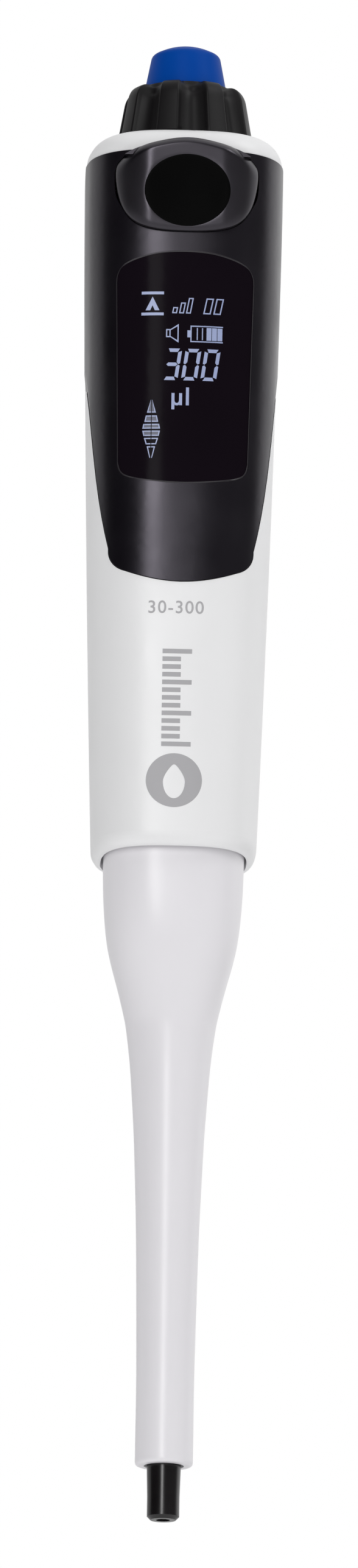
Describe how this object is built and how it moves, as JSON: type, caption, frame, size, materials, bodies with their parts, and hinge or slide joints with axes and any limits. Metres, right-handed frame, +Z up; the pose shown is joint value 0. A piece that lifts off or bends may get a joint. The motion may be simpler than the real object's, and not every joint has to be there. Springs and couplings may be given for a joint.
{
  "type": "electronic micropipette",
  "caption": "Hand-held electronic micropipette with a push button over a fluted dial, a front display, a thumb trigger, a finger hook and a tip-ejector sleeve over a tip cone.",
  "frame": {"origin": "centre of the open lower end of the tip cone, on the pipette's long axis", "axes": "+Z up the long axis from the tip cone to the push button; -Y is the front, with the display and the trigger; +X is to the right of someone looking at the display"},
  "size_m": [0.0346, 0.0619, 0.2617],
  "materials": {
    "housing_white": "satin moulded ABS",
    "sleeve_white": "satin moulded polypropylene",
    "cover_black": "fine-textured satin black plastic",
    "trigger_black": "polished black plastic",
    "dial_black": "satin black plastic",
    "button_blue": "satin blue plastic",
    "window_black": "gloss black printed pane",
    "cone_black": "gloss black plastic",
    "inner_black": "glass-filled black plastic",
    "inner_white": "natural acetal",
    "board_green": "solder-masked glass epoxy",
    "chip_black": "moulded epoxy",
    "display_dark": "display glass",
    "film_amber": "polyimide film",
    "battery_wrap": "shrink film",
    "steel": "ground steel",
    "screw_steel": "zinc-plated steel",
    "motor_steel": "drawn steel can",
    "bronze": "sintered bronze",
    "contact_gold": "gold-plated brass",
    "piston_ceramic": "polished ceramic",
    "seal_rubber": "nitrile rubber"
  },
  "bodies": {
    "handle": {"housing": "housing_white", "front_cover": "cover_black", "display_window": "window_black", "finger_hook": "housing_white", "hook_screws": "screw_steel", "rear_screws": "screw_steel", "charge_contacts": "contact_gold", "contact_board": "board_green", "dial_bearing": "inner_white", "encoder_body": "inner_black", "ejector_spring": "steel", "ejector_guide": "inner_white", "trigger_pin": "steel", "trigger_springs": "steel", "main_board": "board_green", "board_screws": "screw_steel", "board_chips": "chip_black", "trigger_switch": "chip_black", "display_panel": "display_dark", "backlight": "inner_white", "display_ribbon": "film_amber", "battery": "battery_wrap", "battery_terminals": "contact_gold", "buzzer": "chip_black", "chassis": "inner_black", "motor": "motor_steel", "motor_screws": "screw_steel", "motor_bushes": "bronze", "nose_frame": "inner_black", "home_sensor": "chip_black", "measuring_cylinder": "inner_white", "piston_seal": "seal_rubber", "seal_bush": "inner_white", "tip_cone": "cone_black"},
    "dial": {"volume_dial": "dial_black", "encoder_rotor": "inner_black"},
    "ejector": {"ejector_button": "button_blue", "ejector_stem": "steel", "ejector_bridge": "inner_black", "ejector_rod": "steel", "ejector_sleeve": "sleeve_white"},
    "trigger": {"trigger_button": "trigger_black"},
    "screw": {"lead_screw": "steel", "motor_rotor": "motor_steel"},
    "piston": {"carrier": "inner_white", "home_flag": "chip_black", "piston": "piston_ceramic"}
  },
  "joints": [
    {"name": "dial_turn", "type": "hinge", "parent": "handle", "child": "dial", "pos_m": [0, 0, 0.247], "axis": [0, 0, 1], "continuous": true},
    {"name": "ejector_press", "type": "slide", "parent": "handle", "child": "ejector", "axis": [0, 0, -1], "range_m": [0, 0.006], "stiffness_N_per_m": 900, "springref_m": -0.003, "deforming": ["ejector_spring"]},
    {"name": "trigger_press", "type": "hinge", "parent": "handle", "child": "trigger", "pos_m": [0, -0.0121, 0.2266], "axis": [-1, 0, 0], "range_deg": [0, 4.5], "stiffness_Nm_per_rad": 0.25, "springref_deg": -2.86, "deforming": ["trigger_springs"]},
    {"name": "piston_slide", "type": "slide", "parent": "handle", "child": "piston", "axis": [0, 0, 1], "range_m": [-0.0025, 0.0153]},
    {"name": "screw_turn", "type": "hinge", "parent": "handle", "child": "screw", "pos_m": [0, 0, 0.15], "axis": [0, 0, 1], "range_deg": [-455, 2760]}
  ],
  "couplings": [
    {"joint": "screw_turn", "follows": "piston_slide", "rad_per_m": 3141.6}
  ]
}
